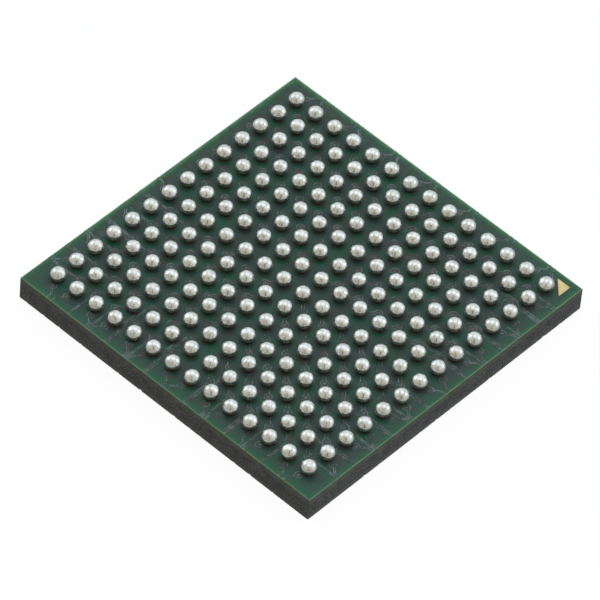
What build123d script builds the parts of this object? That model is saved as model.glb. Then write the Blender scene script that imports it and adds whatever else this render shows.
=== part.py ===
from build123d import *
import os
from math import sqrt

# A moulded ball grid array chip package, resting on its moulded face with its solder balls up.
# Millimetres. The origin is the middle of the flat moulded face, +Z runs through the package towards
# the balls, rows run along X, row A is the row furthest along +Y and ball 1 of a row is furthest along +X.

os.makedirs("parts", exist_ok=True)

# Ball grid
balls_per_row = 14
ball_pitch = 0.80
ball_diameter = 0.50
mask_opening_diameter = 0.38
edge_margin = 0.80
row_letters = "abcdefghjklmnprtuvwy"

# Heights of the stack, from the flat moulded face up
mould_height = 0.69
core_thickness = 0.15
copper_thickness = 0.015
mask_thickness = 0.030

# Copper on the ball side
pad_diameter = 0.46
land_diameter = 0.24
neck_width = 0.09
track_width = 0.05
track_gap = 0.04
land_gap = 0.03
outer_via_reach = 0.32
tail_lead = 0.07
via_diameter = 0.15

# Gold plated triangle beside the corner ball of row A
mark_leg = 0.53
mark_corner_beyond_ball_x = 0.50
mark_corner_beyond_ball_y = 0.58

# Chip, its adhesive film and its bond wires
die_side = 4.80
die_thickness = 0.25
film_thickness = 0.025
wire_diameter = 0.025
wire_bond_diameter = 0.06
wire_bond_height = 0.015
wire_loop_height = 0.11
wire_landing_height = 0.06
die_pad_inset = 0.10
die_pad_corner_clearance = 0.25

# Copper on the die side
finger_width = 0.10
finger_length = 0.25
finger_window_margin = 0.045
finger_ring = 4
plane_margin = 0.20
frame_edge_clearance = 0.25

# Worked out from the sizes above
grid_half = (balls_per_row - 1) * ball_pitch / 2
body_half = grid_half + edge_margin
body_side = 2 * body_half
half_pitch = ball_pitch / 2
via_lane = ball_pitch / 8
tail_lane = 3 * ball_pitch / 8
pass_lane = track_width + track_gap
detour_lane = land_diameter / 2 + land_gap + track_width / 2
die_mask_bottom = mould_height
core_bottom = die_mask_bottom + mask_thickness
core_top = core_bottom + core_thickness
ball_mask_top = core_top + mask_thickness
pad_top = core_top + copper_thickness
die_copper_bottom = core_bottom - copper_thickness
ball_radius = ball_diameter / 2
opening_radius = mask_opening_diameter / 2
ball_centre = ball_mask_top + sqrt(ball_radius**2 - opening_radius**2)
die_top = die_mask_bottom - film_thickness
die_bottom = die_top - die_thickness
die_half = die_side / 2
finger_middle = (finger_ring + 0.5) * ball_pitch
finger_inner_end = finger_middle - finger_length / 2
finger_outer_end = finger_middle + finger_length / 2
finger_half_span = (finger_ring - 0.5) * ball_pitch
die_pad_spread = (die_half - die_pad_corner_clearance) / finger_half_span


def place(index):
    """Distance of a ball from the grid's middle, along X or Y."""
    return index * ball_pitch - grid_half


def outward(index):
    """The way from a ball to the nearer side of the package."""
    return 1 if 2 * index >= balls_per_row else -1


def is_outermost(index):
    """True for the first and the last ball of a row or column."""
    return index in (0, balls_per_row - 1)


def is_second(index):
    """True for the ball next to the first or the last one."""
    return index in (1, balls_per_row - 2)


def is_third(index):
    """True for the ball two places in from the first or the last one."""
    return index in (2, balls_per_row - 3)


def lane_side(index):
    """The vias beside the outermost balls lean in pairs towards each other."""
    return 1 if index % 2 == 0 else -1


def disc(centre, diameter):
    """A flat round of copper."""
    return Pos(*centre) * Circle(diameter / 2)


def strip(points, width):
    """A flat track of copper along straight runs."""
    return trace(Polyline(*points), width)


def slab(half, bottom, height):
    """A square plate about the middle of the package."""
    return Pos(0, 0, bottom) * extrude(Rectangle(2 * half, 2 * half), height)


def raised(sketch, bottom, height):
    """A flat outline turned into a solid that stands on a given height."""
    return Pos(0, 0, bottom) * extrude(sketch, height)


def write(name, solids):
    """Write one named piece, or a group of like pieces, as a STEP file."""
    export_step(Compound(children=[solid for piece in solids for solid in piece.solids()]),
                f"parts/{name}.step")


def via_place(column, row):
    """Middle of the via that serves one ball."""
    x = place(column)
    y = place(row)
    if is_outermost(row):
        return x + lane_side(column) * via_lane, y + outward(row) * outer_via_reach
    if is_outermost(column):
        return x + outward(column) * outer_via_reach, y + lane_side(row) * via_lane
    return x + outward(column) * half_pitch, y + outward(row) * half_pitch


def bent_tail(column, row):
    """Plating tail from an outermost via to the sawn side, with one slanting jog."""
    x, y = via_place(column, row)
    jog = tail_lane - via_lane
    if is_outermost(row):
        side = outward(row)
        lean = lane_side(column) * jog
        runs = [(x, y), (x, y + side * tail_lead), (x + lean, y + side * (tail_lead + jog))]
        return strip(runs + [(x + lean, side * body_half)], track_width)
    side = outward(column)
    lean = lane_side(row) * jog
    runs = [(x, y), (x + side * tail_lead, y), (x + side * (tail_lead + jog), y + lean)]
    return strip(runs + [(side * body_half, y + lean)], track_width)


def has_free_lane(index):
    """True where no tail of an outermost via leans into the lane beside a ball."""
    lower = index if outward(index) > 0 else index - 1
    return lane_side(lower) < 0


def long_tail(column, row):
    """Plating tail from a third ring via, passing between pads and stepping round the next land."""
    x, y = via_place(column, row)
    along_x = is_third(column)
    step = outward(column) if along_x else outward(row)
    aside = outward(row) if along_x else outward(column)
    bend = detour_lane - pass_lane
    land_before = ball_pitch - detour_lane
    land_after = ball_pitch + detour_lane
    to_side = body_half - step * (x if along_x else y)
    runs = [(0, 0), (pass_lane, pass_lane), (land_before - bend, pass_lane), (land_before, detour_lane),
            (land_after, detour_lane), (land_after + bend, pass_lane), (to_side, pass_lane)]
    if along_x:
        return strip([(x + step * far, y + aside * off) for far, off in runs], track_width)
    return strip([(x + aside * off, y + step * far) for far, off in runs], track_width)


def tail(column, row):
    """The plating tail of one ball, or None where it has none."""
    x, y = via_place(column, row)
    on_a_tailed_side = x > 0 or y < 0
    if is_outermost(row):
        return bent_tail(column, row)
    if is_outermost(column):
        return bent_tail(column, row) if on_a_tailed_side else None
    if is_second(column) and on_a_tailed_side:
        return strip([(x, y), (outward(column) * body_half, y)], track_width)
    if is_second(row) and y < 0:
        return strip([(x, y), (x, -body_half)], track_width)
    if is_third(column) and on_a_tailed_side and has_free_lane(row):
        return long_tail(column, row)
    if is_third(row) and y < 0 and has_free_lane(column):
        return long_tail(column, row)
    return None


def ball_side_net(column, row):
    """Pad, neck, via land and plating tail of one ball, etched as one piece."""
    centre = (place(column), place(row))
    via = via_place(column, row)
    net = disc(centre, pad_diameter) + disc(via, land_diameter) + strip([centre, via], neck_width)
    own_tail = tail(column, row)
    return net if own_tail is None else net + own_tail


def solder_ball(column, row):
    """A ball that fills its round mask opening and bulges out above it."""
    bulge = Pos(0, 0, ball_centre) * Sphere(ball_radius)
    above_mask = slab(ball_diameter, ball_mask_top, ball_diameter + mask_thickness)
    neck = raised(Circle(opening_radius), pad_top, ball_mask_top - pad_top)
    return Pos(place(column), place(row), 0) * ((bulge & above_mask) + neck)


def finger_places():
    """Distances of the bond fingers along one side of the chip, half a pitch apart."""
    steps = range(1, 2 * finger_ring)
    return sorted([step * half_pitch for step in steps] + [-step * half_pitch for step in steps])


def finger_track(along):
    """One bond finger with its track and via land, for the side that faces +X."""
    finger = Pos(finger_middle, along) * Rectangle(finger_length, finger_width)
    steps = round(along / half_pitch)
    if steps % 2 == 0:
        via = (finger_ring * ball_pitch, along)
        start = (finger_inner_end, along)
    else:
        via = ((finger_ring + 1) * ball_pitch, along + (half_pitch if along > 0 else -half_pitch))
        start = (finger_outer_end, along)
    return finger + strip([start, via], track_width) + disc(via, land_diameter)


def bond_wire(along):
    """One gold wire from the chip's face to its bond finger, for the side that faces +X."""
    start = Vector(die_half - die_pad_inset, along * die_pad_spread, die_bottom)
    end = Vector(finger_middle, along, die_copper_bottom)
    top_of_loop = start - Vector(0, 0, wire_loop_height)
    landing = end - Vector(0, 0, wire_landing_height)
    path = Polyline(start, top_of_loop, landing, end)
    section = Plane(origin=start, z_dir=(0, 0, -1)) * Circle(wire_diameter / 2)
    wire = sweep(section, path=path, transition=Transition.RIGHT)
    bond = Pos(*start) * Cylinder(wire_bond_diameter / 2, wire_bond_height,
                                  align=(Align.CENTER, Align.CENTER, Align.MAX))
    return wire + bond


grid = [(column, row) for row in range(balls_per_row) for column in range(balls_per_row)]
sides = {"plus_x": 0, "plus_y": 90, "minus_x": 180, "minus_y": 270}

# Solder balls and the copper of the ball side, row by row from row A
balls = {place_in_grid: solder_ball(*place_in_grid) for place_in_grid in grid}
nets = {place_in_grid: raised(ball_side_net(*place_in_grid), core_top, copper_thickness)
        for place_in_grid in grid}
for row in range(balls_per_row):
    letter = row_letters[balls_per_row - 1 - row]
    write(f"solder_balls_row_{letter}", [balls[column, row] for column in range(balls_per_row)])
    write(f"ball_pads_row_{letter}", [nets[column, row] for column in range(balls_per_row)])

# Gold plated triangle that marks ball 1 of row A
mark_corner_x = grid_half + mark_corner_beyond_ball_x
mark_corner_y = grid_half + mark_corner_beyond_ball_y
mark_outline = make_face(Polyline((mark_corner_x, mark_corner_y),
                                  (mark_corner_x - mark_leg, mark_corner_y),
                                  (mark_corner_x, mark_corner_y - mark_leg), close=True))
write("pin_one_mark", [raised(mark_outline, core_top, copper_thickness)])

# Laminate core with a filled via for every ball
vias = [raised(disc(via_place(*place_in_grid), via_diameter), core_bottom, core_thickness)
        for place_in_grid in grid]
write("core_vias", vias)
write("laminate_core", [slab(body_half, core_bottom, core_thickness) - vias])

# Green mask over the ball side, open at every ball and over the triangle
openings = [raised(disc((place(column), place(row)), mask_opening_diameter), core_top, mask_thickness)
            for column, row in grid]
ball_mask = slab(body_half, core_top, mask_thickness) - list(nets.values()) - openings
write("solder_mask_ball_side", [ball_mask - raised(mark_outline, core_top, mask_thickness)])

# Copper of the die side: plane, supply frame, bond fingers with their tracks, and unused lands
plane_half = (finger_ring - 1) * ball_pitch + plane_margin
frame_inner_half = (finger_ring + 1.5) * ball_pitch
frame_outer_half = body_half - frame_edge_clearance
die_plane = slab(plane_half, die_copper_bottom, copper_thickness)
supply_frame = (slab(frame_outer_half, die_copper_bottom, copper_thickness)
                - slab(frame_inner_half, die_copper_bottom, copper_thickness))
fingers = {side: [Rot(0, 0, angle) * raised(finger_track(along), die_copper_bottom, copper_thickness)
                  for along in finger_places()] for side, angle in sides.items()}
spare_rings = [finger_ring * ball_pitch, (finger_ring + 1) * ball_pitch]
spare_lands = [raised(disc((x_side * ring, y_side * ring), land_diameter),
                      die_copper_bottom, copper_thickness)
               for ring in spare_rings for x_side in (-1, 1) for y_side in (-1, 1)]
write("die_plane", [die_plane])
write("supply_frame", [supply_frame])
write("spare_lands", spare_lands)
for side in sides:
    write(f"bond_fingers_{side}", fingers[side])

# Mask over the die side, with a window over each row of bond fingers
window_outline = Pos(finger_middle, 0) * Rectangle(
    finger_length + 2 * finger_window_margin,
    2 * finger_half_span + finger_width + 2 * finger_window_margin)
windows = [Rot(0, 0, angle) * raised(window_outline, die_mask_bottom, mask_thickness)
           for angle in sides.values()]
all_fingers = [finger for side in sides for finger in fingers[side]]
die_mask = (slab(body_half, die_mask_bottom, mask_thickness)
            - [die_plane, supply_frame] - spare_lands - all_fingers - windows)
write("solder_mask_die_side", [die_mask])

# Chip, adhesive film and bond wires
die = slab(die_half, die_bottom, die_thickness)
film = slab(die_half, die_top, film_thickness)
wires = {side: [Rot(0, 0, angle) * bond_wire(along) for along in finger_places()]
         for side, angle in sides.items()}
write("silicon_die", [die])
write("die_attach_film", [film])
for side in sides:
    write(f"bond_wires_{side}", wires[side])

# Mould, cast round the chip and its wires and into the windows of the mask
all_wires = [wire for side in sides for wire in wires[side]]
mould = slab(body_half, 0, mould_height) + windows - [die, film] - all_fingers - all_wires
write("mould_cap", [mould])
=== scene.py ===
"""The looks of a moulded ball grid array chip package that lies on its moulded face, balls up.

Lengths in this file are millimetres unless a name says otherwise; meshes are written in metres.
"""

import logging
import math
import random
from dataclasses import dataclass
from enum import Enum
from typing import Any, Iterable, Optional, Union

import bpy
import numpy as np
from mathutils import Matrix, Vector
from mathutils.bvhtree import BVHTree
from mathutils.geometry import delaunay_2d_cdt


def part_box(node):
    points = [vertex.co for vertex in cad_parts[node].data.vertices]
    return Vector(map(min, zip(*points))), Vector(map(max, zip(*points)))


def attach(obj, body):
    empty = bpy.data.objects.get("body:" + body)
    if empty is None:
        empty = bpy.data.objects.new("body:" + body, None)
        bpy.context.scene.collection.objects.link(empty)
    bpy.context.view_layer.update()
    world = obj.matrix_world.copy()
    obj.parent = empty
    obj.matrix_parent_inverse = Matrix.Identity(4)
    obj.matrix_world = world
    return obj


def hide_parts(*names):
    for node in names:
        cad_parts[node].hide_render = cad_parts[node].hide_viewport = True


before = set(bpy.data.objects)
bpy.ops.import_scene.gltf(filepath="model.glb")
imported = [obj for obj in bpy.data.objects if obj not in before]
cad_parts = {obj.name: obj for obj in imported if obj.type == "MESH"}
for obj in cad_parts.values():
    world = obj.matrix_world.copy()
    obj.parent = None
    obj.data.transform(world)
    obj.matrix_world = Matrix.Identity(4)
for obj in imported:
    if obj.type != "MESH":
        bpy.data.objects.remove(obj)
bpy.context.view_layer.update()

MM = 0.001
SLACK = 1e-4
TINY = 1e-5

log = logging.getLogger("package")

Colour = tuple[float, float, float]
Way = tuple[float, float, float]
Span = tuple[float, float]
Sockets = dict[Union[str, int], Any]


class Slot(Enum):
    """Names of the record's material slots."""

    MOULD = "mould"
    MASK = "green_mask"
    SOLDER = "solder"


class Level(Enum):
    """How a Mix node treats its sockets, with the places of its two inputs and its output."""

    NUMBER = ("FLOAT", 2, 3, 0)
    COLOUR = ("RGBA", 6, 7, 2)


# Shader arithmetic


@dataclass(frozen=True)
class Reading:
    """One socket of a node tree, for use in plain arithmetic.

    Attributes:
        sheet: The sheet of nodes that the socket belongs to.
        socket: The output socket.
    """

    sheet: "NodeSheet"
    socket: bpy.types.NodeSocket

    def __add__(self, other: "Amount") -> "Reading":
        """Sum."""
        return self.sheet.maths("ADD", self, other)

    __radd__ = __add__

    def __sub__(self, other: "Amount") -> "Reading":
        """Difference."""
        return self.sheet.maths("SUBTRACT", self, other)

    def __rsub__(self, other: "Amount") -> "Reading":
        """Difference, the other way round."""
        return self.sheet.maths("SUBTRACT", other, self)

    def __mul__(self, other: "Amount") -> "Reading":
        """Product."""
        return self.sheet.maths("MULTIPLY", self, other)

    __rmul__ = __mul__

    def __abs__(self) -> "Reading":
        """Size without sign."""
        return self.sheet.maths("ABSOLUTE", self)

    def larger(self, other: "Amount") -> "Reading":
        """The larger of two numbers."""
        return self.sheet.maths("MAXIMUM", self, other)


Amount = Union[Reading, float]


class NodeSheet:
    """A node tree that is written as expressions."""

    def __init__(self, tree: bpy.types.NodeTree) -> None:
        """Start from an empty tree."""
        self.tree = tree
        tree.nodes.clear()

    def node(self, kind: str, settings: Optional[dict[str, Any]] = None,
             inputs: Optional[Sockets] = None) -> bpy.types.Node:
        """Add a node.

        Args:
            kind: The node's type without the leading ShaderNode.
            settings: Properties set first, such as a Math node's operation.
            inputs: Values or readings by the name or place of their socket.

        Returns:
            The new node.
        """
        node = self.tree.nodes.new("ShaderNode" + kind)
        for key, value in (settings or {}).items():
            setattr(node, key, value)
        for key, value in (inputs or {}).items():
            if isinstance(value, Reading):
                self.tree.links.new(value.socket, node.inputs[key])
            else:
                node.inputs[key].default_value = value
        return node

    def read(self, node: bpy.types.Node, output: Union[str, int] = 0) -> Reading:
        """One output of a node as a reading."""
        return Reading(self, node.outputs[output])

    def maths(self, operation: str, *values: Amount) -> Reading:
        """The result of a Math node with these inputs."""
        return self.read(self.node("Math", {"operation": operation}, dict(enumerate(values))))

    def mix(self, share: Amount, low: Any, high: Any, level: Level = Level.COLOUR) -> Reading:
        """Blend between two colours or two numbers.

        Args:
            share: 0 gives low and 1 gives high.
            low: Colour, number or reading.
            high: Colour, number or reading.
            level: Whether colours or numbers are blended.

        Returns:
            The blend.
        """
        data_type, first, second, output = level.value
        values = [opaque(v) if level is Level.COLOUR else v for v in (low, high)]
        node = self.node("Mix", {"data_type": data_type}, {0: share, first: values[0], second: values[1]})
        return self.read(node, output)

    def ease(self, value: Reading, start: float, end: float) -> Reading:
        """A smooth rise from 0 at start to 1 at end; start may be the larger."""
        return self.read(self.node("MapRange", {"interpolation_type": "SMOOTHSTEP"},
                                   {0: value, 1: start, 2: end, 3: 0.0, 4: 1.0}))

    def noise(self, place: Reading, grain: float, detail: float = 2.0, roughness: float = 0.5) -> Reading:
        """Soft noise around 0.5; grain is the size of its largest lumps, detail counts the finer layers."""
        return self.read(self.node("TexNoise", {}, {
            "Vector": place, "Scale": 1.0 / grain, "Detail": detail, "Roughness": roughness}))

    def place_mm(self, stretch: Way = (1.0, 1.0, 1.0)) -> Reading:
        """The surface's place in the object's own frame.

        Args:
            stretch: Factor along each axis.

        Returns:
            The place, in millimetres times the factors.
        """
        place = self.read(self.node("TexCoord"), "Object")
        return self.read(self.node("VectorMath", {"operation": "MULTIPLY"},
                                   {0: place, 1: [share / MM for share in stretch]}))

    def parts(self, vector: Reading) -> tuple[Reading, Reading, Reading]:
        """The three parts of a vector."""
        node = self.node("SeparateXYZ", {}, {0: vector})
        return self.read(node, 0), self.read(node, 1), self.read(node, 2)

    def dot(self, vector: Reading, way: Vector) -> Reading:
        """How far a vector points along a fixed direction."""
        node = self.node("VectorMath", {"operation": "DOT_PRODUCT"}, {0: vector, 1: way})
        return self.read(node, "Value")

    def bump(self, height: Reading, depth_mm: float, strength: float = 1.0) -> Reading:
        """A normal tilted by a height, where a height of 1 is worth the depth."""
        return self.read(self.node("Bump", {}, {
            "Strength": strength, "Distance": depth_mm * MM, "Height": height}))

    def attribute(self, name: str) -> Reading:
        """A number that the mesh carries at each vertex."""
        return self.read(self.node("Attribute", {"attribute_name": name}), "Fac")

    def shader(self, kind: str, inputs: Optional[Sockets] = None) -> Reading:
        """A shader node's output."""
        return self.read(self.node(kind, {}, inputs))

    def blended(self, share: Amount, first: Reading, second: Reading) -> Reading:
        """Two shaders in one; a share of 0 gives the first."""
        return self.shader("MixShader", {0: share, 1: first, 2: second})

    def end(self, surface: Reading, output: str = "OutputMaterial") -> None:
        """Lead a shader to the output of the tree."""
        self.node(output, {}, {"Surface": surface})


def opaque(colour: Any) -> Any:
    """A colour with its alpha, or a reading as it is."""
    return colour if isinstance(colour, Reading) else (*colour, 1.0)


def material_sheet(name: str) -> tuple[bpy.types.Material, NodeSheet]:
    """Start a material.

    Args:
        name: Its name.

    Returns:
        The new material and the sheet of its nodes.
    """
    material = bpy.data.materials.new(name)
    material.use_nodes = True
    return material, NodeSheet(material.node_tree)


# Finishes


class Finish:
    """A named material of one Principled shader, whose sockets each finish fills in."""

    name: str

    def sockets(self, sheet: NodeSheet) -> Sockets:
        """What goes into the shader's sockets.

        Args:
            sheet: The sheet to write on.

        Returns:
            Values and readings by the name of their socket.
        """
        raise NotImplementedError

    def surface(self, sheet: NodeSheet) -> Reading:
        """The shader."""
        return sheet.shader("BsdfPrincipled", self.sockets(sheet))

    def material(self) -> bpy.types.Material:
        """Make the material.

        Returns:
            The new material.
        """
        material, sheet = material_sheet(self.name)
        sheet.end(self.surface(sheet))
        return material


@dataclass(frozen=True)
class MaskFinish(Finish):
    """Satin green solder mask, greyer over copper, with painted highlights along track edges, in via
    dimples and on the rim, and painted light by the sawn side, strongest on the far sides.

    A reach is the pair of distances from the sawn side between which a colour comes in, and
    far_reach the like for how far a place lies to the far corner's side, y less x.

    Attributes:
        half: Half the side of the body.
        patch: Size of the patches of open and shaded green.
        cloud: Size of soft unevenness.
        stain: Size of the brown stains.
        mottle: Size of the fine spots.
    """

    half: float
    name: str = "green_solder_mask"
    open_green: Colour = (0.011, 0.093, 0.056)
    shaded_green: Colour = (0.034, 0.062, 0.055)
    over_copper: Colour = (0.028, 0.062, 0.053)
    brown_stain: Colour = (0.082, 0.073, 0.070)
    painted_glint_grey: Colour = (0.42, 0.54, 0.58)
    painted_rim_highlight: Colour = (0.175, 0.285, 0.185)
    margin_green: Colour = (0.011, 0.103, 0.047)
    edge_green_and_far_light: Colour = (0.045, 0.190, 0.072)
    smudge_brown: Colour = (0.036, 0.046, 0.034)
    margin_reach: Span = (0.60, 0.18)
    smudge_reach: Span = (0.80, 0.35)
    edge_reach: Span = (0.29, 0.12)
    rim_reach: Span = (0.070, 0.030)
    far_reach: Span = (-2.0, 6.0)
    patch: float = 0.6
    cloud: float = 0.28
    stain: float = 0.16
    mottle: float = 0.05

    def sockets(self, sheet: NodeSheet) -> Sockets:
        """Greens and stains by place, by the copper below and by the distance from the sawn side, with
        painted highlights along track edges and the rim.

        Args:
            sheet: The sheet to write on.

        Returns:
            Values and readings by the name of their socket.
        """
        place = sheet.place_mm()
        x, y, _ = sheet.parts(place)
        from_side = self.half - abs(x).larger(abs(y))
        patches = sheet.noise(place, self.patch, 3.0, 0.6)
        cloud = sheet.noise(place, self.cloud, 3.0, 0.6)
        mottle = sheet.noise(place, self.mottle, 2.0, 0.6)
        stain = sheet.ease(sheet.noise(place, self.stain, 2.0, 0.6), 0.44, 0.58)
        far = sheet.ease(y - x, *self.far_reach)
        green = sheet.mix(sheet.ease(patches * 0.6 + cloud * 0.4, 0.43, 0.58),
                          self.shaded_green, self.open_green)
        green = sheet.mix(sheet.ease(from_side + cloud * 0.4, *self.margin_reach),
                          green, self.margin_green)
        smudge = stain * far * sheet.ease(from_side, *self.smudge_reach) * 0.85
        green = sheet.mix(smudge, green, self.smudge_brown)
        covered = sheet.ease(sheet.attribute("copper_below") + mottle * 0.4 - 0.2, 0.15, 0.85)
        colour = sheet.mix(covered, green, sheet.mix(stain, self.over_copper, self.brown_stain))
        colour = sheet.mix(sheet.ease(mottle, 0.50, 0.62) * 0.40, colour, self.brown_stain)
        colour = sheet.mix(sheet.ease(mottle, 0.48, 0.38) * 0.50, colour, self.shaded_green)
        glint_patches = sheet.ease(cloud * 0.6 + mottle * 0.4, 0.43, 0.60)
        # Painted highlight: pale grey along copper's edges and in via dimples, in patches, where the coat's
        # slopes would catch the light.
        colour = sheet.mix(sheet.attribute("track_edge") * glint_patches, colour, self.painted_glint_grey)
        # Paler green band by the sawn side; its fourfold strength on the far sides is painted light.
        edge = sheet.ease(from_side + cloud * 0.20, *self.edge_reach) * (0.25 + far * 0.75)
        colour = sheet.mix(edge, colour, self.edge_green_and_far_light)
        # Painted highlight along the rounded rim, wider on the far sides.
        rim = sheet.ease(from_side + mottle * 0.04 - far * 0.012, *self.rim_reach)
        return {
            "Base Color": sheet.mix(rim * 0.85, colour, self.painted_rim_highlight),
            "Roughness": 0.34 + mottle * 0.16 + rim * 0.15,
            "Specular IOR Level": 0.30,
            "Normal": sheet.bump(cloud * 0.6 + mottle * 0.4, 0.012, 0.7),
        }


@dataclass(frozen=True)
class SolderFinish(Finish):
    """Bright solder with a fine grain and a few freckles, rougher towards its foot, with painted shade
    there that darkens and browns it.

    Attributes:
        middle: Height of the balls' centres.
        bright: Colour of the clean solder.
        grey: Colour of its grains and freckles.
        painted_foot_shade: Colour near the foot, a painted shade.
        foot_reach: Heights over the middle between which the painted shade comes in.
        satin: Roughness of its dull layer.
        polished: Roughness of its bright layer.
        polish: Shares of the bright layer where it shows least and most.
    """

    middle: float
    name: str = "bright_solder"
    bright: Colour = (0.89, 0.90, 0.89)
    grey: Colour = (0.66, 0.65, 0.61)
    painted_foot_shade: Colour = (0.25, 0.205, 0.140)
    foot_reach: Span = (0.14, -0.08)
    satin: float = 0.40
    polished: float = 0.13
    polish: Span = (0.36, 0.76)

    def surface(self, sheet: NodeSheet) -> Reading:
        """A satin and a polished metal in one, by soft patches.

        Args:
            sheet: The sheet to write on.

        Returns:
            The shader.
        """
        place = sheet.place_mm()
        _, _, z = sheet.parts(place)
        grain = sheet.noise(place, 0.026, 3.0, 0.6)
        cloud = sheet.noise(place, 0.12, 2.0, 0.5)
        freckles = sheet.ease(sheet.noise(place, 0.055, 1.0, 0.4), 0.66, 0.76)
        colour = sheet.mix(sheet.ease(cloud + grain * 0.5, 0.58, 0.98), self.bright, self.grey)
        colour = sheet.mix(freckles * 0.6, colour, self.grey)
        # Painted shade: darker and browner towards the foot, where shadow and the dark mask's reflection
        # fall.
        foot = sheet.ease(z + cloud * 0.04, *(self.middle + height for height in self.foot_reach))
        colour = sheet.mix(foot, colour, self.painted_foot_shade)
        normal = sheet.bump(grain * 0.4 + cloud * 0.6, 0.003, 0.5)
        layers = [sheet.shader("BsdfPrincipled", {
            "Base Color": colour, "Metallic": 1.0, "Normal": normal,
            "Roughness": roughness + freckles * 0.10 + foot * 0.24,
        }) for roughness in (self.satin, self.polished)]
        low, high = self.polish
        return sheet.blended(low + sheet.ease(cloud, 0.38, 0.62) * (high - low), *layers)


@dataclass(frozen=True)
class MouldFinish(Finish):
    """Dark epoxy moulding compound full of fine filler, paler towards its lower edge as painted bounce
    light from the floor.

    Attributes:
        dark: Colour of the compound.
        pale: Colour of its grit.
        filler: Colour of the specks of filler.
        bounce_reach: Heights between which the painted bounce light comes in.
    """

    name: str = "epoxy_mould"
    dark: Colour = (0.010, 0.010, 0.010)
    pale: Colour = (0.094, 0.094, 0.091)
    filler: Colour = (0.20, 0.20, 0.195)
    bounce_reach: Span = (0.36, 0.06)

    def sockets(self, sheet: NodeSheet) -> Sockets:
        """Grit and specks of filler, faint level lines from the saw, and painted bounce light near the
        lower edge.

        Args:
            sheet: The sheet to write on.

        Returns:
            Values and readings by the name of their socket.
        """
        place = sheet.place_mm()
        _, _, z = sheet.parts(place)
        grit = sheet.noise(place, 0.060, 3.0, 0.7)
        cloud = sheet.noise(place, 0.35, 3.0, 0.5)
        specks = sheet.ease(sheet.noise(place, 0.030, 1.0, 0.4), 0.64, 0.74)
        # Painted bounce light from the floor: paler towards the lower edge.
        painted_floor_bounce = sheet.ease(z + cloud * 0.14, *self.bounce_reach)
        saw_lines = sheet.noise(sheet.place_mm((0.25, 0.25, 9.0)), 0.5, 2.0, 0.6)
        colour = sheet.mix(sheet.ease(grit * 0.8 + cloud * 0.2, 0.42, 0.60), self.dark, self.pale)
        colour = sheet.mix(specks * 0.75, colour, self.filler)
        return {
            "Base Color": sheet.mix(painted_floor_bounce * 0.30, colour, self.filler),
            "Roughness": 0.55 + grit * 0.25,
            "Normal": sheet.bump(grit * 0.6 + specks * 0.2 + saw_lines * 0.2, 0.012, 0.6),
        }


@dataclass(frozen=True)
class LaminateFinish(Finish):
    """Sawn glass and resin board: brown resin with pale bundles of cut fibre, greener near the mask.

    Attributes:
        top: Height of the mask's underside.
        resin: Colour of the resin.
        fibre: Colour of the cut fibre.
        tinted: Colour just under the mask.
        tint_depth: How far down that tint goes.
    """

    top: float
    name: str = "laminate_edge"
    resin: Colour = (0.042, 0.042, 0.028)
    fibre: Colour = (0.115, 0.120, 0.090)
    tinted: Colour = (0.062, 0.108, 0.064)
    tint_depth: float = 0.09

    def sockets(self, sheet: NodeSheet) -> Sockets:
        """Level bundles of fibre, and the tint under the mask.

        Args:
            sheet: The sheet to write on.

        Returns:
            Values and readings by the name of their socket.
        """
        place = sheet.place_mm()
        _, _, z = sheet.parts(place)
        bundles = sheet.noise(sheet.place_mm((1.0, 1.0, 7.0)), 0.40, 3.0, 0.65)
        fray = sheet.noise(place, 0.030, 2.0, 0.6)
        colour = sheet.mix(sheet.ease(bundles * 0.7 + fray * 0.3, 0.40, 0.65), self.resin, self.fibre)
        tint = sheet.ease(z, self.top - self.tint_depth, self.top) * 0.8
        return {
            "Base Color": sheet.mix(tint, colour, self.tinted),
            "Roughness": 0.62 + fray * 0.2,
            "Normal": sheet.bump(fray * 0.5 + bundles * 0.5, 0.010, 0.6),
        }


@dataclass(frozen=True)
class MetalFinish(Finish):
    """Plated or etched metal with a fine grain and slight tarnish.

    Attributes:
        name: Material name.
        clean: Colour of the clean metal.
        tarnished: Colour in its dull patches.
        roughness: Roughness where its grain is smoothest.
    """

    name: str
    clean: Colour
    tarnished: Colour
    roughness: float = 0.42

    def sockets(self, sheet: NodeSheet) -> Sockets:
        """Grain and patches of tarnish.

        Args:
            sheet: The sheet to write on.

        Returns:
            Values and readings by the name of their socket.
        """
        place = sheet.place_mm()
        grain = sheet.noise(place, 0.018, 3.0, 0.6)
        tarnish = sheet.ease(sheet.noise(place, 0.16, 2.0, 0.5) + grain * 0.4, 0.50, 0.90)
        return {
            "Base Color": sheet.mix(tarnish, self.clean, self.tarnished),
            "Metallic": 1.0,
            "Roughness": self.roughness + grain * 0.18,
            "Normal": sheet.bump(grain, 0.003, 0.5),
        }


@dataclass(frozen=True)
class CloudedFinish(Finish):
    """A finish whose colour, roughness and relief follow one noise.

    Attributes:
        name: Material name.
        low: Colour where the noise is low.
        high: Colour where it is high.
        lumps: Size of its largest lumps.
        roughness: Roughness where it is 0, and what is added where it is 1.
        depth: Depth of the relief.
        strength: Share of the relief's effect.
        stretch: How much finer the noise is along each axis.
        turn: Values of the noise between which the colour changes.
        metallic: How metallic it is.
    """

    name: str
    low: Colour
    high: Colour
    lumps: float
    roughness: Span
    depth: float
    strength: float
    stretch: Way = (1.0, 1.0, 1.0)
    turn: Span = (0.40, 0.65)
    metallic: float = 0.0

    def sockets(self, sheet: NodeSheet) -> Sockets:
        """Everything from the one noise.

        Args:
            sheet: The sheet to write on.

        Returns:
            Values and readings by the name of their socket.
        """
        noise = sheet.noise(sheet.place_mm(self.stretch), self.lumps, 3.0, 0.6)
        smooth, rougher = self.roughness
        return {
            "Base Color": sheet.mix(sheet.ease(noise, *self.turn), self.low, self.high),
            "Metallic": self.metallic,
            "Roughness": smooth + noise * rougher,
            "Normal": sheet.bump(noise, self.depth, self.strength),
        }


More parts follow.
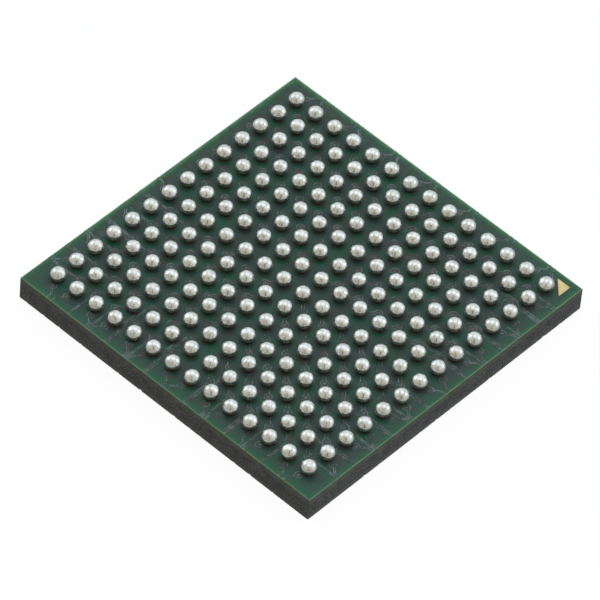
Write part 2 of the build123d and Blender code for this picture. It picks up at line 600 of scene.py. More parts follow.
ETCHED_COPPER = MetalFinish("etched_copper", (0.50, 0.30, 0.20), (0.18, 0.13, 0.09))
PLATED_GOLD = MetalFinish("plated_gold", (0.82, 0.66, 0.35), (0.72, 0.55, 0.28))
GROUND_SILICON = CloudedFinish("silicon_chip", (0.060, 0.065, 0.080), (0.110, 0.115, 0.125), 0.8,
                               (0.18, 0.15), 0.002, 0.4, stretch=(12.0, 0.6, 1.0), metallic=0.4)
ATTACH_FILM = CloudedFinish("attach_film", (0.30, 0.29, 0.27), (0.20, 0.19, 0.18), 0.25,
                            (0.5, 0.2), 0.003, 0.4, turn=(0.35, 0.65))
DIE_SIDE_MASK = CloudedFinish("die_side_mask", (0.030, 0.060, 0.030), (0.090, 0.095, 0.070), 0.05,
                              (0.45, 0.2), 0.006, 0.5)


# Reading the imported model


@dataclass(frozen=True)
class Facets:
    """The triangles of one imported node.

    Attributes:
        corners: Places of the vertices, in millimetres.
        triangles: Three vertex numbers a triangle.
    """

    corners: np.ndarray
    triangles: np.ndarray

    @classmethod
    def of(cls, node: str) -> "Facets":
        """Read a node's triangles.

        Args:
            node: Its name.

        Returns:
            Its facets.
        """
        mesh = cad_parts[node].data
        corners = np.empty(len(mesh.vertices) * 3)
        mesh.vertices.foreach_get("co", corners)
        indices = np.empty(len(mesh.loops), dtype=np.int64)
        mesh.loops.foreach_get("vertex_index", indices)
        return cls(corners.reshape(-1, 3) / MM, indices.reshape(-1, 3))

    def flat_at(self, height: float) -> tuple[np.ndarray, np.ndarray]:
        """The part of the surface that lies flat at a height and faces up.

        Args:
            height: Height above the moulded face.

        Returns:
            Merged flat points, and the triangles on them.
        """
        level = np.abs(self.corners[self.triangles][:, :, 2] - height).max(axis=1) < SLACK
        keys, numbers = np.unique(np.round(self.corners[:, :2] / SLACK).astype(np.int64), axis=0,
                                  return_inverse=True)
        triangles = numbers.reshape(-1)[self.triangles[level]]
        points = keys * SLACK
        a, b, c = (points[triangles[:, i]] for i in range(3))
        (ab_x, ab_y), (ac_x, ac_y) = (b - a).T, (c - a).T
        return points, triangles[ab_x * ac_y - ab_y * ac_x > 0]

    def outlines_at(self, height: float) -> list[np.ndarray]:
        """Closed outlines, anticlockwise, of what lies flat at a height."""
        points, triangles = self.flat_at(height)
        return [points[loop] for loop in border_loops(triangles)]


def border_loops(triangles: np.ndarray) -> list[list[int]]:
    """Chain the edges that only one triangle uses.

    Args:
        triangles: Three vertex numbers a triangle, all turning the same way.

    Returns:
        Closed loops of vertex numbers, with the surface on their left.
    """
    edges = np.concatenate([triangles[:, [0, 1]], triangles[:, [1, 2]], triangles[:, [2, 0]]])
    directed = {(int(a), int(b)) for a, b in edges}
    following = {a: b for a, b in sorted(directed) if (b, a) not in directed}
    loops = []
    while following:
        start, here = following.popitem()
        loop = [start]
        while here != start:
            loop.append(here)
            here = following.pop(here)
        loops.append(loop)
    return loops


def circle(centre: Iterable[float], radius: float, steps: int) -> np.ndarray:
    """Points of a circle, anticlockwise."""
    angles = np.arange(steps) * (2 * math.pi / steps)
    return np.asarray(centre)[:2] + radius * np.stack([np.cos(angles), np.sin(angles)], axis=1)


def square(half: float) -> np.ndarray:
    """Corners of a square about the middle, anticlockwise."""
    return np.array([(-half, -half), (half, -half), (half, half), (-half, half)])


def direction(tilt: Any, turn: Any) -> np.ndarray:
    """Unit directions at angles from +Z and turned from +X, both in radians."""
    return np.stack([np.sin(tilt) * np.cos(turn), np.sin(tilt) * np.sin(turn), np.cos(tilt)], axis=-1)


def band(low: int, high: int, count: int) -> list[tuple[int, ...]]:
    """Quads between two closed rings of vertices, by the first number of each ring."""
    return [(low + i, low + (i + 1) % count, high + (i + 1) % count, high + i) for i in range(count)]


def gaps_to(points: np.ndarray, middles: np.ndarray) -> np.ndarray:
    """Distance from each point to the nearest of some middles.

    Args:
        points: Flat points.
        middles: Flat middles.

    Returns:
        A distance for each point.
    """
    gaps = np.full(len(points), np.inf)
    for middle in middles:
        gaps = np.minimum(gaps, np.hypot(*(points - middle).T))
    return gaps


def pushed_out(outline: np.ndarray, distance: float) -> np.ndarray:
    """An outline moved outwards.

    Args:
        outline: Points, anticlockwise.
        distance: How far each side moves.

    Returns:
        The moved points, one for each of the outline's.
    """
    ahead = np.roll(outline, -1, axis=0) - outline
    ahead /= np.maximum(np.linalg.norm(ahead, axis=1, keepdims=True), 1e-9)
    outward = np.stack([ahead[:, 1], -ahead[:, 0]], axis=1)
    middle = outward + np.roll(outward, 1, axis=0)
    length = np.maximum((middle ** 2).sum(axis=1, keepdims=True), 1.0)
    return outline + middle * (2 * distance / length)


def new_piece(name: str, vertices: np.ndarray, faces: list[tuple[int, ...]],
              material: bpy.types.Material) -> bpy.types.Object:
    """Make one piece of the object and let it ride on the body.

    Args:
        name: The piece's name.
        vertices: Places in millimetres.
        faces: Vertex numbers of each face.
        material: Its finish.

    Returns:
        The new object.
    """
    mesh = bpy.data.meshes.new(name)
    mesh.from_pydata((vertices * MM).tolist(), [], faces)
    mesh.materials.append(material)
    mesh.validate()
    piece = bpy.data.objects.new(name, mesh)
    bpy.context.collection.objects.link(piece)
    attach(piece, "root")
    return piece


# Sub-assemblies


@dataclass(frozen=True)
class Stack:
    """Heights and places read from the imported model.

    Attributes:
        rows: Row letters of the balls.
        half: Half the side of the body.
        mould_top: Top of the moulded block.
        mask_bottom: Underside of the mask on the ball side.
        copper_top: Top of the copper on the ball side.
        mask_top: Top of that mask over copper.
        ball_top: Top of the solder balls.
        ball_radius: Radius of a ball.
        opening_radius: Radius of its opening in the mask.
        balls: Middles of each row's balls, by its letter.
    """

    rows: list[str]
    half: float
    mould_top: float
    mask_bottom: float
    copper_top: float
    mask_top: float
    ball_top: float
    ball_radius: float
    opening_radius: float
    balls: dict[str, np.ndarray]

    @classmethod
    def read(cls) -> "Stack":
        """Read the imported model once.

        Returns:
            Its heights and places.
        """
        prefix = "solder_balls_row_"
        rows = sorted(name[len(prefix):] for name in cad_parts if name.startswith(prefix))
        mask_low, mask_high = (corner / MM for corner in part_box("solder_mask_ball_side"))
        row_low, row_high = (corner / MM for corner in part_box(prefix + rows[0]))
        balls = {row: cls.topmost(prefix + row, row_high.z) for row in rows}
        corners = Facets.of(prefix + rows[0]).corners
        foot = corners[corners[:, 2] < row_low.z + SLACK]
        return cls(rows=rows, half=mask_high.x, mould_top=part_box("solder_mask_die_side")[0].z / MM,
                   mask_bottom=mask_low.z, copper_top=row_low.z, mask_top=mask_high.z, ball_top=row_high.z,
                   ball_radius=(row_high.y - row_low.y) / 2,
                   opening_radius=foot[:, 0].max() - balls[rows[0]][:, 0].max(), balls=balls)

    @staticmethod
    def topmost(node: str, top: float) -> np.ndarray:
        """Middles of one row's balls, from their topmost points."""
        corners = Facets.of(node).corners
        return np.unique(np.round(corners[corners[:, 2] > top - SLACK][:, :2], 3), axis=0)


@dataclass
class SolderBalls:
    """Rows of solder balls, each ball a little different from the next.

    Attributes:
        stack: Places and heights.
        segments: Steps round a ball.
        rings: Steps from its top to the mask.
        flattening: How much wider than the CAD ball it is, as a share.
        unevenness: Largest share by which a ball is smaller than that.
        lobes: Number of directions that the unevenness has.
        dent_share: Share of balls with a small dent.
        dent_tilts: Least and greatest angle of a dent from the ball's top, in radians.
        dent_depth: Depth of a dent.
        dent_radius: Radius of a dent.
        dent_fall: How steeply it fades towards that radius.
        seed: Start of the random draws.
    """

    stack: Stack
    segments: int = 40
    rings: int = 24
    flattening: float = 0.050
    unevenness: float = 0.012
    lobes: int = 3
    dent_share: float = 0.3
    dent_tilts: Span = (0.15, 1.1)
    dent_depth: float = 0.014
    dent_radius: float = 0.075
    dent_fall: float = 1.6
    seed: int = 14

    def __post_init__(self) -> None:
        """Work out where the ball's centre lies and seed the differences."""
        self.ball_radius = self.stack.ball_radius
        self.centre_height = self.stack.ball_top - self.ball_radius
        self.draws = random.Random(self.seed)

    def directions(self) -> np.ndarray:
        """Spread a ball's vertices.

        Returns:
            Their unit directions from its centre, ring by ring from the top.
        """
        lowest = math.pi - math.asin(self.stack.opening_radius / self.ball_radius)
        tilts = np.linspace(0, lowest, self.rings + 1)[1:]
        turns = np.arange(self.segments) * (2 * math.pi / self.segments)
        tilt, turn = np.meshgrid(tilts, turns, indexing="ij")
        return np.concatenate([[[0.0, 0.0, 1.0]], direction(tilt, turn).reshape(-1, 3)])

    def surface(self, directions: np.ndarray) -> np.ndarray:
        """Shape one ball, with its own unevenness and perhaps a dent.

        Args:
            directions: Unit directions of its vertices.

        Returns:
            Its vertices about its centre.
        """
        draws = self.draws
        radius = np.full(len(directions), 1.0 - self.unevenness * 0.5)
        for _ in range(self.lobes):
            axis = np.array([draws.gauss(0, 1) for _ in range(3)])
            axis /= np.linalg.norm(axis)
            radius += self.unevenness / (2 * self.lobes) * (2 * (directions @ axis) ** 2 - 1)
        if draws.random() < self.dent_share:
            turn = draws.uniform(0, 2 * math.pi)
            dent = direction(draws.uniform(*self.dent_tilts), turn)
            apart = np.arccos(np.clip(directions @ dent, -1, 1)) * self.ball_radius
            fading = np.exp(-(apart / self.dent_radius * self.dent_fall) ** 2)
            radius -= self.dent_depth / self.ball_radius * fading
        widths = np.array([1 + self.flattening, 1 + self.flattening, 1.0])
        return directions * (radius * self.ball_radius)[:, None] * widths

    def faces(self) -> list[tuple[int, ...]]:
        """Join a ball's vertices.

        Returns:
            A fan on top, bands of quads, the neck and its foot.
        """
        steps = range(self.segments)
        following = [(i + 1) % self.segments for i in steps]
        faces: list[tuple[int, ...]] = [(0, 1 + i, 1 + following[i]) for i in steps]
        for ring in range(self.rings):
            above = 1 + ring * self.segments
            below = above + self.segments
            faces += [(above + i, below + i, below + following[i], above + following[i]) for i in steps]
        foot = 1 + self.rings * self.segments
        faces.append(tuple(foot + i for i in reversed(steps)))
        return faces

    def build_row(self, row: str, material: bpy.types.Material) -> bpy.types.Object:
        """Build one row.

        Args:
            row: Its letter.
            material: The solder.

        Returns:
            The piece that stands for the row's CAD node.
        """
        stack = self.stack
        directions = self.directions()
        ball_faces = self.faces()
        opening = circle((0, 0), stack.opening_radius, self.segments)
        waist, foot = (np.column_stack([opening, np.full(self.segments, level - self.centre_height)])
                       for level in (stack.mask_top, stack.copper_top))
        vertices = []
        faces: list[tuple[int, ...]] = []
        for x, y in stack.balls[row]:
            first = sum(len(part) for part in vertices)
            ball = self.surface(directions)[:-self.segments]
            vertices.append(np.concatenate([ball, waist, foot]) + (x, y, self.centre_height))
            faces += [tuple(first + i for i in face) for face in ball_faces]
        piece = new_piece(f"solder_ball_row_{row}", np.concatenate(vertices), faces, material)
        piece.data.shade_smooth()
        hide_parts(f"solder_balls_row_{row}")
        return piece

    def build(self) -> None:
        """Build every row."""
        material = SolderFinish(self.centre_height).material()
        for row in self.stack.rows:
            piece = self.build_row(row, material)
            log.info("%s: %d faces", piece.name, len(piece.data.polygons))


@dataclass
class SolderMask:
    """The green coat that follows the copper under it, open at every ball and over the gold triangle.

    Attributes:
        stack: Places and heights.
        relief: How much higher the coat stands over copper.
        shoulder: Width of the slope beside copper.
        inner_shoulder: Width of the thin stretch just inside copper's edge.
        opening_steps: Steps round a ball's opening.
        via_pit: Depth of the dimple over a via.
        via_radius: Radius of a via.
        pit_floor: Radius of the dimple's floor, as a share of the via's.
        via_steps: Steps round a dimple.
        pit_gleam: Strength of the painted highlight in a dimple, as a share of a track edge's.
        lit_side: The way that the light comes from, so that a track's painted highlight is strongest on the
            edge facing it.
        unlit_side_share: How strong the painted highlight on the other edges is beside it.
        saw_gap: How far the coat stands back from the sawn side.
        rim_width: Width of its rounded rim.
        rim_drop: How far the rim falls.
    """

    stack: Stack
    relief: float = 0.013
    shoulder: float = 0.016
    inner_shoulder: float = 0.014
    opening_steps: int = 32
    via_pit: float = 0.007
    via_radius: float = 0.075
    pit_floor: float = 0.6
    via_steps: int = 14
    pit_gleam: float = 0.20
    lit_side: Way = (-0.64, 0.77, 0.0)
    unlit_side_share: float = 0.30
    saw_gap: float = 0.002
    rim_width: float = 0.025
    rim_drop: float = 0.006

    def __post_init__(self) -> None:
        """Read the copper, the balls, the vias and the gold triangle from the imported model."""
        stack = self.stack
        self.side = stack.half - self.saw_gap
        self.copper = [outline for row in stack.rows
                       for outline in Facets.of(f"ball_pads_row_{row}").outlines_at(stack.copper_top)]
        self.mark = Facets.of("pin_one_mark").outlines_at(stack.copper_top)[0]
        self.balls = np.concatenate([stack.balls[row] for row in stack.rows])
        vias = Facets.of("core_vias").outlines_at(stack.mask_bottom)
        self.vias = np.array([(outline.min(axis=0) + outline.max(axis=0)) / 2 for outline in vias])

    def copper_tree(self) -> BVHTree:
        """Lay out the flat top of the copper and the triangle for searching.

        Returns:
            A search tree over them, at height 0.
        """
        corners: list[Way] = []
        triangles: list[tuple[int, ...]] = []
        for node in [f"ball_pads_row_{row}" for row in self.stack.rows] + ["pin_one_mark"]:
            points, faces = Facets.of(node).flat_at(self.stack.copper_top)
            first = len(corners)
            corners += [(x, y, 0.0) for x, y in points.tolist()]
            triangles += [tuple(first + i for i in face) for face in faces.tolist()]
        return BVHTree.FromPolygons(corners, triangles, all_triangles=True)

    def border_tree(self) -> BVHTree:
        """Stand low walls along the copper's outlines for searching.

        Returns:
            A search tree over them, from under height 0 to over it.
        """
        corners: list[Way] = []
        walls: list[tuple[int, ...]] = []
        for outline in self.copper:
            first, count = len(corners), len(outline)
            corners += [(x, y, -1.0) for x, y in outline.tolist()]
            corners += [(x, y, 1.0) for x, y in outline.tolist()]
            walls += band(first, first + count, count)
        return BVHTree.FromPolygons(corners, walls)

    def outlines(self) -> list[np.ndarray]:
        """Draw every line that the top of the coat is creased or cut along.

        Returns:
            Flat points of each closed line.
        """
        lines = [square(self.side), square(self.side - self.rim_width), self.mark]
        lines += [circle(ball, self.stack.opening_radius, self.opening_steps) for ball in self.balls]
        for share in (self.pit_floor, 1.0):
            lines += [circle(via, self.via_radius * share, self.via_steps) for via in self.vias]
        lines.append(pushed_out(self.mark, self.shoulder))
        for outline in self.copper:
            lines += [pushed_out(outline, step) for step in (-self.inner_shoulder, 0.0, self.shoulder)]
        return [np.clip(line, -self.side, self.side) for line in lines]

    @staticmethod
    def filled(lines: list[np.ndarray]) -> tuple[np.ndarray, np.ndarray]:
        """Triangulate the plane over a set of closed lines.

        Args:
            lines: Points of each line.

        Returns:
            Points and triangles, with every line kept as edges.
        """
        points: list[Vector] = []
        edges: list[tuple[int, int]] = []
        for line in lines:
            first = len(points)
            points += [Vector(point) for point in line.tolist()]
            edges += [(first + i, first + (i + 1) % len(line)) for i in range(len(line))]
        whole_hull = 0
        found = delaunay_2d_cdt(points, edges, [], whole_hull, TINY, False)
        return np.array([tuple(point) for point in found[0]]), np.array([tuple(face) for face in found[2]])

    def kept(self, points: np.ndarray, triangles: np.ndarray) -> np.ndarray:
        """Leave out the triangles inside an opening.

        Args:
            points: Flat points.
            triangles: Triangles over the whole plane.

        Returns:
            The triangles that are left.
        """
        middles = points[triangles].mean(axis=1)
        ball_at = {tuple(place) for place in np.round(self.balls, 3).tolist()}
        xs = np.unique(np.round(self.balls[:, 0], 3))
        ys = np.unique(np.round(self.balls[:, 1], 3))
        near = np.stack([xs[np.abs(middles[:, :1] - xs).argmin(axis=1)],
                         ys[np.abs(middles[:, 1:] - ys).argmin(axis=1)]], axis=1)
        real = np.array([tuple(place) in ball_at for place in near.tolist()])
        inside = real & (np.linalg.norm(middles - near, axis=1) < self.stack.opening_radius)
        a, b = self.mark, np.roll(self.mark, -1, axis=0)
        turns = [(q[0] - p[0]) * (middles[:, 1] - p[1]) - (q[1] - p[1]) * (middles[:, 0] - p[0])
                 for p, q in zip(a, b)]
        inside |= np.all(np.array(turns) > 0, axis=0)
        return triangles[~inside]

    def heights(self, points: np.ndarray) -> tuple[np.ndarray, np.ndarray, np.ndarray]:
        """Height of the coat's top at flat points, and what lies under each.

        Args:
            points: Flat points.

        Returns:
            Heights, shares of copper below, and the strength of the painted highlight along copper's edges
            and in via dimples, both from 0 to 1.
        """
        copper, border = self.copper_tree(), self.border_tree()
        places = [(x, y, 0.0) for x, y in points.tolist()]
        gaps = np.array([copper.find_nearest(place)[3] for place in places])
        borders = [border.find_nearest(place) for place in places]
        to_border = np.array([found[3] for found in borders])
        facing = np.array([found[1].dot(self.lit_side) for found in borders])
        slope = np.clip(gaps / self.shoulder, 0, 1)
        heights = self.stack.mask_top - self.relief * (1 - np.cos(math.pi * slope)) / 2
        pit_slope = (1 - self.pit_floor) * self.via_radius
        in_pit = np.clip((self.via_radius - gaps_to(points, self.vias)) / pit_slope, 0, 1)
        heights -= self.via_pit * in_pit
        to_side = self.side - np.abs(points).max(axis=1)
        heights -= self.rim_drop * np.clip(1 - to_side / self.rim_width, 0, 1) ** 2
        # Painted highlight along copper's edges: strongest on edges facing the lit side, weaker on the
        # others, faint in via dimples, none beside the balls.
        paleness = self.unlit_side_share + (1 - self.unlit_side_share) * (1 + facing) / 2
        edge = np.clip(1 - to_border / self.inner_shoulder, 0, 1) * paleness
        edge[gaps_to(points, self.balls) < self.stack.ball_radius + self.shoulder] = 0
        return heights, 1 - slope, np.maximum(edge, self.pit_gleam * in_pit)

    def build(self) -> bpy.types.Object:
        """Build the coat.

        Returns:
            The piece that stands for the CAD node.
        """
        points, triangles = self.filled(self.outlines())
        triangles = self.kept(points, triangles)
        used, numbers = np.unique(triangles, return_inverse=True)
        points = points[used]
        triangles = numbers.reshape(-1, 3)
        heights, share, edge = self.heights(points)
        top = np.column_stack([points, heights])
        loops = border_loops(triangles)
        rim = np.concatenate(loops)
        low = np.column_stack([points[rim], np.full(len(rim), self.stack.mask_bottom)])
        low_number = {int(number): len(top) + i for i, number in enumerate(rim)}
        faces = [tuple(face) for face in triangles.tolist()]
        for loop in loops:
            for here, following in zip(loop, loop[1:] + loop[:1]):
                faces.append((following, here, low_number[here], low_number[following]))
        faces += self.underside(points, loops, low_number)
        piece = new_piece("solder_mask_over_tracks", np.concatenate([top, low]), faces,
                          MaskFinish(self.stack.half).material())
        self.mark_slopes(piece, heights[triangles], len(triangles))
        for name, values in (("copper_below", share), ("track_edge", edge)):
            layer = piece.data.attributes.new(name, "FLOAT", "POINT")
            layer.data.foreach_set("value", np.concatenate([values, np.zeros(len(low))]))
        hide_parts("solder_mask_ball_side")
        return piece

    def underside(self, points: np.ndarray, loops: list[list[int]],
                  low_number: dict[int, int]) -> list[tuple[int, ...]]:
        """Fill the flat underside between the same borders as the top.

        Args:
            points: Flat points of the top.
            loops: Its borders.
            low_number: Vertex number of the low point under each border point.

        Returns:
            The faces.
        """
        found, triangles = self.filled([points[loop] for loop in loops])
        triangles = self.kept(found, triangles)
        rim = np.concatenate(loops)
        place_number = {tuple(place): int(number) for place, number in
                        zip(np.round(points[rim], 4).tolist(), rim)}
        numbers = [place_number[tuple(place)] for place in np.round(found, 4).tolist()]
        return [tuple(low_number[numbers[i]] for i in reversed(face)) for face in triangles.tolist()]

    @staticmethod
    def mark_slopes(piece: bpy.types.Object, corner_heights: np.ndarray, count: int) -> None:
        """Shade the sloping faces smooth and leave the flats and walls flat.

        Args:
            piece: The coat.
            corner_heights: Heights of each top face's corners.
            count: Number of top faces, which come first.
        """
        smooth = np.zeros(len(piece.data.polygons), dtype=bool)
        smooth[:count] = np.ptp(corner_heights, axis=1) > TINY
        piece.data.polygons.foreach_set("use_smooth", smooth)


@dataclass
class MouldCap:
    """The moulded block, with sides that the saw left slightly wavy and a chipped lower edge.

    Attributes:
        stack: Places and heights.
        step: Distance between the points round it.
        bevel: Width of the worn lower edge.
        waviness: Depth of the waves in its sides.
        waves: Numbers of waves round it.
        chip_depth: Depth of the chips along its lower edge.
        chip_waves: Numbers of waves that make up their line.
        chip_free: Share of that line's height below which nothing is chipped.
        seed: Start of the random draws.
    """

    stack: Stack
    step: float = 0.04
    bevel: float = 0.002
    waviness: float = 0.002
    waves: tuple[int, ...] = (3, 5, 9, 14, 23)
    chip_depth: float = 0.040
    chip_waves: tuple[int, ...] = (61, 97, 139, 211, 307)
    chip_free: float = 0.72
    seed: int = 5

    def __post_init__(self) -> None:
        """Seed the waves and the chips."""
        self.draws = random.Random(self.seed)

    def round_trip(self) -> tuple[np.ndarray, np.ndarray]:
        """Walk round the block, anticlockwise.

        Returns:
            Flat points on its sides, and the way inwards at each.
        """
        half = self.stack.half
        steps = round(2 * half / self.step)
        corners = square(half)
        points = np.concatenate([a + (b - a) * np.arange(steps)[:, None] / steps
                                 for a, b in zip(corners, np.roll(corners, -1, axis=0))])
        inward = -np.where(np.abs(points) > half - TINY, np.sign(points), 0.0)
        return points, inward

    def wander(self, count: int, waves: Iterable[int]) -> np.ndarray:
        """A smooth closed random line.

        Args:
            count: Number of points on it.
            waves: Numbers of waves that make it up.

        Returns:
            Its height at each point, from 0 to 1.
        """
        turn = np.arange(count) * (2 * math.pi / count)
        line = sum(np.sin(turn * wave + self.draws.uniform(0, 2 * math.pi)) for wave in waves)
        return (line - line.min()) / (line.max() - line.min())

    def build(self) -> bpy.types.Object:
        """Build the block as a stack of outlines.

        Returns:
            The piece that stands for the CAD node.
        """
        points, inward = self.round_trip()
        count = len(points)
        wave = self.wander(count, self.waves) * self.waviness
        peaks = np.clip(self.wander(count, self.chip_waves) - self.chip_free, 0, 1)
        chips = peaks / (1 - self.chip_free) * self.chip_depth
        top = self.stack.mould_top
        profile = [(0.0, self.bevel + chips), (self.bevel, chips * 0.8 + wave),
                   (0.045, chips * 0.35 + wave), (0.10, wave), (0.25, wave * 0.9), (0.45, wave * 0.8),
                   (top - 0.03, wave * 0.5), (top, wave * 0.0)]
        rings = [np.column_stack([points + inward * inset[:, None], np.full(count, level)])
                 for level, inset in profile]
        faces: list[tuple[int, ...]] = []
        for ring in range(len(rings) - 1):
            faces += band(ring * count, (ring + 1) * count, count)
        faces.append(tuple(reversed(range(count))))
        faces.append(tuple(range((len(rings) - 1) * count, len(rings) * count)))
        piece = new_piece("moulded_block", np.concatenate(rings), faces, MouldFinish().material())
        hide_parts("mould_cap")
        return piece


@dataclass
class CarriedNodes:
    """CAD nodes that keep their shape and get a finish.

    Attributes:
        stack: Places and heights.
    """

    stack: Stack

    def dress(self) -> None:
        """Give each carried node its finish, picked by the start of its name."""
        finishes = {
            ("ball_pads_row_", "core_vias", "die_plane", "spare_lands", "supply_frame"): ETCHED_COPPER,
            ("bond_fingers_", "bond_wires_", "pin_one_mark"): PLATED_GOLD,
            ("laminate_core",): LaminateFinish(self.stack.mask_bottom),
            ("solder_mask_die_side",): DIE_SIDE_MASK,
            ("die_attach_film",): ATTACH_FILM,
            ("silicon_die",): GROUND_SILICON,
        }
        for prefixes, finish in finishes.items():
            material = finish.material()
            for name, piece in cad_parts.items():
                if name.startswith(prefixes):
                    piece.data.materials.clear()
                    piece.data.materials.append(material)
                    log.info("%s: %s", name, material.name)


# Studio


@dataclass(frozen=True)
class Lamp:
    """A soft lamp that looks at the package.

    Attributes:
        name: Its name.
        way: Direction from the package to the lamp.
        radiance: Brightness of its disc, where 1 shows as white.
        width: Width of the disc.
        distance: How far away it stands.
        colour: Its tint.
    """

    name: str
    way: Way
    radiance: float
    width: float
    distance: float = 250.0
    colour: Colour = (0.97, 1.01, 1.02)

    def place(self, target: Vector) -> None:
        """Put the lamp in the scene.

        Args:
            target: Point that it looks at, in metres.
        """
        data = bpy.data.lights.new(self.name, "AREA")
        data.shape = "DISK"
        data.size = self.width * MM
        data.energy = self.radiance * math.pi * math.pi * (data.size / 2) ** 2
        data.color = self.colour
        lamp = bpy.data.objects.new(self.name, data)
        way = Vector(self.way).normalized()
        lamp.location = target + way * self.distance * MM
        lamp.rotation_euler = way.to_track_quat("Z", "Y").to_euler()
        bpy.context.collection.objects.link(lamp)


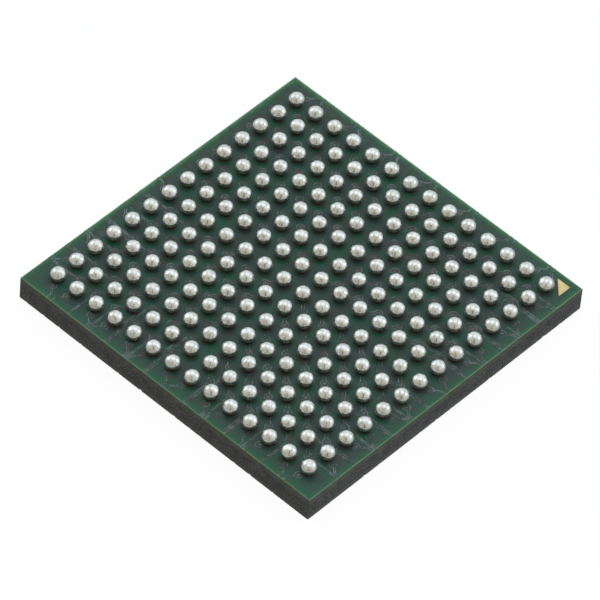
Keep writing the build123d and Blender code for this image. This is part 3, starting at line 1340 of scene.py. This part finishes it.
@dataclass
class Studio:
    """White surroundings, a white floor that takes a faint shadow, and three soft lamps.

    A reach is the pair of cosines, of the angle to a direction, between which an effect comes in.

    Attributes:
        stack: Places and heights.
        world_light: Brightness for dull surfaces, as a share of what is mirrored.
        dull_dim: Share of that light that the dim side lacks.
        dull_way: Middle of the dim side as light on dull surfaces.
        bright: Brightness of the surroundings where mirrored.
        horizon: Brightness near the horizon as a share of the brightness overhead.
        dim: What the dim side's brightness lacks.
        dim_way: Middle of the dim side.
        lens_way: Direction of the dark lens and of the hands behind it.
        lens_dim: Share of the light that they hide.
        lens_half: Half their width and half their height, as parts of a unit direction.
        lens_soft: Where their blurred border starts and ends, as shares of those.
        lens_brown: Tint of what little light comes from them.
        cool: Tint of the bright surroundings.
        warm: Tint of the dim side.
        floor_half: Half the side of the floor.
        floor_gap: How far it lies under the moulded face.
        floor_white: Colour of the floor.
        seen_glow: Brightness of its glow to the camera, and the glow's share of what shows.
        mirrored_glow: The same in mirrors.
        gaps_through: Length, in gaps, of the longest ray that passes through it.
        lamps: The lamps.
    """

    stack: Stack
    world_light: float = 1.18
    dull_dim: float = 0.85
    dull_way: Way = (0.15, -0.98, 0.05)
    dull_reach: Span = (0.30, 0.95)
    bright: float = 0.87
    horizon: float = 0.65
    overhead_reach: Span = (-0.05, 0.45)
    dim: float = 0.40
    dim_way: Way = (0.24, -0.91, 0.35)
    dim_reach: Span = (-0.30, 1.05)
    warm_reach: Span = (0.0, 0.95)
    lens_way: Way = (0.503, -0.606, 0.616)
    lens_dim: float = 0.78
    lens_half: Span = (0.10, 0.50)
    lens_soft: Span = (1.3, 0.7)
    lens_reach: Span = (0.2, 0.5)
    lens_brown: Colour = (1.12, 0.98, 0.78)
    cool: Colour = (0.92, 1.02, 1.05)
    warm: Colour = (1.08, 1.04, 0.84)
    floor_half: float = 400.0
    floor_gap: float = 0.01
    floor_white: Colour = (0.86, 0.86, 0.86)
    seen_glow: Span = (1.02, 0.93)
    mirrored_glow: Span = (0.53, 0.90)
    gaps_through: float = 8.0
    lamps: tuple[Lamp, ...] = (
        Lamp("overhead_lamp", (-0.13, 0.26, 0.95), 0.40, 200.0),
        Lamp("left_lamp", (-0.84, -0.10, 0.53), 0.74, 160.0),
        Lamp("right_lamp", (0.50, 0.69, 0.53), 0.80, 140.0),
    )

    def build(self) -> None:
        """Build the floor, the world and the lamps."""
        self.floor()
        self.world()
        for lamp in self.lamps:
            lamp.place(Vector((0, 0, self.stack.mask_top * MM)))

    def floor(self) -> None:
        """A large plain floor just under the moulded face, open to the light from underneath."""
        level = -self.floor_gap * MM
        mesh = bpy.data.meshes.new("floor")
        mesh.from_pydata([(x, y, level) for x, y in square(self.floor_half * MM).tolist()], [],
                         [(0, 1, 2, 3)])
        material, sheet = material_sheet("white_floor")
        path = sheet.node("LightPath")
        surface = sheet.shader("BsdfDiffuse", {"Color": opaque(self.floor_white)})
        glows = {"Is Glossy Ray": self.mirrored_glow, "Is Camera Ray": self.seen_glow}
        for ray, (glow, share) in glows.items():
            surface = sheet.blended(sheet.read(path, ray) * share, surface,
                                    sheet.shader("Emission", {"Strength": glow}))
        from_underneath = sheet.read(sheet.node("NewGeometry"), "Backfacing")
        in_gap = sheet.maths("LESS_THAN", sheet.read(path, "Ray Length"),
                             self.floor_gap * self.gaps_through * MM)
        sheet.end(sheet.blended(from_underneath.larger(in_gap), surface, sheet.shader("BsdfTransparent")))
        mesh.materials.append(material)
        floor = bpy.data.objects.new("floor", mesh)
        bpy.context.collection.objects.link(floor)

    def world(self) -> None:
        """Surroundings: white where seen, a little dimmer on one side where mirrored or as light."""
        world = bpy.data.worlds.new("surroundings")
        bpy.context.scene.world = world
        world.use_nodes = True
        sheet = NodeSheet(world.node_tree)
        way = sheet.read(sheet.node("TexCoord"), "Generated")
        towards_dim, towards_dull, towards_lens = (
            sheet.dot(way, Vector(side).normalized())
            for side in (self.dim_way, self.dull_way, self.lens_way))
        lens = Vector(self.lens_way).normalized()
        across = lens.cross(Vector((0, 0, 1))).normalized()
        hidden = sheet.ease(towards_lens, *self.lens_reach)
        for axis, half in zip((across, across.cross(lens)), self.lens_half):
            border = [half * soft for soft in self.lens_soft]
            hidden = hidden * sheet.ease(abs(sheet.dot(way, axis)), *border)
        overhead = sheet.ease(sheet.dot(way, Vector((0, 0, 1))), *self.overhead_reach)
        dim = sheet.ease(towards_dim, *self.dim_reach)
        mirrored = (self.bright - dim * self.dim) * (1 - hidden * self.lens_dim)
        mirrored = mirrored * (self.horizon + overhead * (1 - self.horizon))
        path = sheet.node("LightPath")
        glossy = sheet.read(path, "Is Glossy Ray").larger(sheet.read(path, "Is Transmission Ray"))
        seen = sheet.read(path, "Is Camera Ray")
        dull = self.world_light * (1 - sheet.ease(towards_dull, *self.dull_reach) * self.dull_dim)
        strength = mirrored * sheet.mix(glossy, dull, 1.0, Level.NUMBER)
        strength = sheet.mix(seen, strength, 1.0, Level.NUMBER)
        tint = sheet.mix(sheet.ease(towards_dim, *self.warm_reach), self.cool, self.warm)
        tint = sheet.mix(hidden, tint, self.lens_brown)
        tint = sheet.mix(seen, tint, (1.0, 1.0, 1.0))
        sheet.end(sheet.shader("Background", {"Color": tint, "Strength": strength}), "OutputWorld")


@dataclass
class PhotoCamera:
    """The camera that took the photograph.

    Attributes:
        turn: Degrees round the package, 0 looking along +Y.
        height: Degrees above the horizon.
        roll: Degrees of tilt of the picture.
        distance: Distance to the target.
        target: Point at the middle of the picture.
        focal_px: Focal length in pixels of the picture.
        side_px: Side of the picture in pixels.
        sensor: Width of the sensor.
        sight_m: Nearest and farthest distance that it sees, in metres.
    """

    turn: float = 39.719
    height: float = 48.715
    roll: float = 5.122
    distance: float = 219.0
    target: Way = (0.4192, -0.5405, 0.9)
    focal_px: float = 7286.6
    side_px: int = 600
    sensor: float = 36.0
    sight_m: Span = (0.01, 10.0)

    def build(self) -> None:
        """Place the camera."""
        turn, height, roll = (math.radians(a) for a in (self.turn, self.height, self.roll))
        back = Vector(direction(math.pi / 2 - height, turn - math.pi / 2))
        level = Vector((math.cos(turn), math.sin(turn), 0.0))
        upright = back.cross(level)
        right = level * math.cos(roll) + upright * math.sin(roll)
        up = upright * math.cos(roll) - level * math.sin(roll)
        data = bpy.data.cameras.new("photo_camera")
        data.sensor_width = self.sensor
        data.sensor_fit = "HORIZONTAL"
        data.lens = self.focal_px * self.sensor / self.side_px
        data.clip_start, data.clip_end = self.sight_m
        camera = bpy.data.objects.new("photo_camera", data)
        eye = (Vector(self.target) + back * self.distance) * MM
        camera.matrix_world = Matrix.Translation(eye) @ Matrix((right, up, back)).transposed().to_4x4()
        bpy.context.collection.objects.link(camera)
        bpy.context.scene.camera = camera


def main() -> None:
    """Build the package's looks, piece by piece."""
    logging.basicConfig(level=logging.INFO, format="%(message)s")
    bpy.context.scene.view_settings.view_transform = "Standard"
    stack = Stack.read()
    CarriedNodes(stack).dress()
    SolderBalls(stack).build()
    for assembly in (SolderMask(stack), MouldCap(stack)):
        piece = assembly.build()
        log.info("%s: %d faces", piece.name, len(piece.data.polygons))
    Studio(stack).build()
    PhotoCamera().build()


if __name__ == "__main__":
    main()
